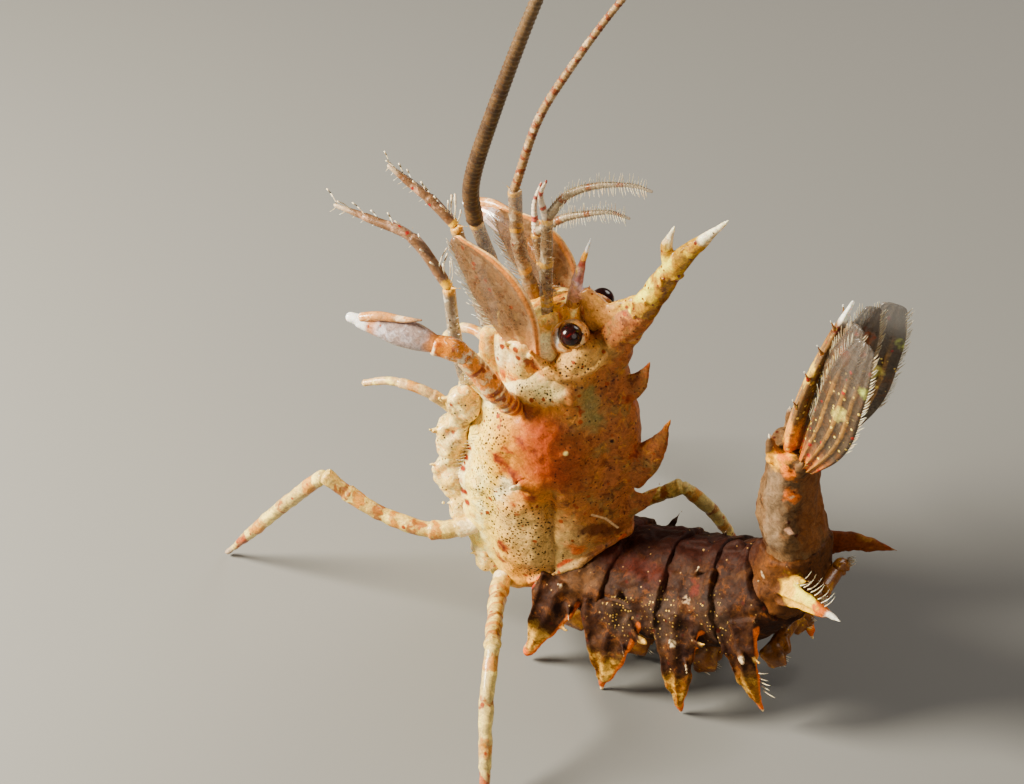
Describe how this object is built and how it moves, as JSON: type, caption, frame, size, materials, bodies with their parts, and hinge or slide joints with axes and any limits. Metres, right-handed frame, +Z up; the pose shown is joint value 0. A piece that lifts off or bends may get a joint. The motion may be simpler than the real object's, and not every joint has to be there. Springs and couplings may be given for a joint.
{
  "type": "shrimp",
  "caption": "Horned spiny shrimp standing on its legs, head reared up and abdomen bent back so that the tail fan rises behind it.",
  "frame": {"origin": "middle of the whole animal's box, on the floor that its feet stand on", "axes": "+Z up, -X the way the belly faces, +X towards the tail, -Y the animal's left side and +Y its right side"},
  "size_m": [0.0404, 0.0312, 0.0527],
  "materials": {
    "eye": "wet, near-black maroon cornea, very glossy",
    "eyestalk": "translucent tan shell with fine dark dots",
    "rostrum": "glossy yellow-gold shell with brown-red patches and white tips",
    "carapace": "glossy translucent shell, cream to brown, with an orange-red glow, red blotches and tiny dark dots",
    "breast": "translucent cream joints with pale yellow and red-brown spots",
    "abdomen": "translucent brown shell, pale front ridges, yellow-gold flap tips edged orange",
    "pleopods": "translucent brown paddles",
    "tail_fan": "clear tan blades with yellow ribs and orange spots",
    "claw": "translucent pinkish-grey, pearly, with a white tip",
    "claw_arm": "orange shell banded dark red",
    "leg": "cream with orange-brown bands, slightly translucent",
    "antennal_scale": "translucent brown plate with an orange outer edge and red spots",
    "feeler": "banded red-brown and clear, glossy"
  },
  "bodies": {
    "root": {"carapace": "carapace", "rostrum": "rostrum", "head_base": "carapace", "breast": "breast", "eye_left": "eye", "eyestalk_left": "eyestalk", "antennule_peduncle_left": "feeler", "antennule_outer_left": "feeler", "antennule_inner_left": "feeler", "antenna_peduncle_left": "feeler", "antenna_flagellum_left": "feeler", "antennal_scale_left": "antennal_scale", "maxilliped_lower_left": "leg", "maxilliped_upper_left": "leg", "claw_merus_left": "claw_arm", "claw_carpus_left": "claw_arm", "claw_palm_left": "claw", "claw_finger_left": "claw", "leg_3_left": "leg", "leg_4_upper_left": "leg", "leg_4_lower_left": "leg", "leg_5_upper_left": "leg", "leg_5_lower_left": "leg", "uropod_outer_left": "tail_fan", "eye_right": "eye", "eyestalk_right": "eyestalk", "antennule_peduncle_right": "feeler", "antennule_outer_right": "feeler", "antennule_inner_right": "feeler", "antenna_peduncle_right": "feeler", "antenna_flagellum_right": "feeler", "antennal_scale_right": "antennal_scale", "maxilliped_lower_right": "leg", "maxilliped_upper_right": "leg", "claw_merus_right": "claw_arm", "claw_carpus_right": "claw_arm", "claw_palm_right": "claw", "claw_finger_right": "claw", "leg_3_right": "leg", "leg_4_upper_right": "leg", "leg_4_lower_right": "leg", "leg_5_upper_right": "leg", "leg_5_lower_right": "leg", "uropod_outer_right": "tail_fan", "somite_1": "abdomen", "pleopods_1": "pleopods", "somite_2": "abdomen", "pleopods_2": "pleopods", "somite_3": "abdomen", "pleopods_3": "pleopods", "somite_4": "abdomen", "pleopods_4": "pleopods", "somite_5": "abdomen", "pleopods_5": "pleopods", "somite_6": "abdomen", "telson": "tail_fan", "uropod_inner_left": "tail_fan", "uropod_inner_right": "tail_fan"}
  },
  "joints": []
}
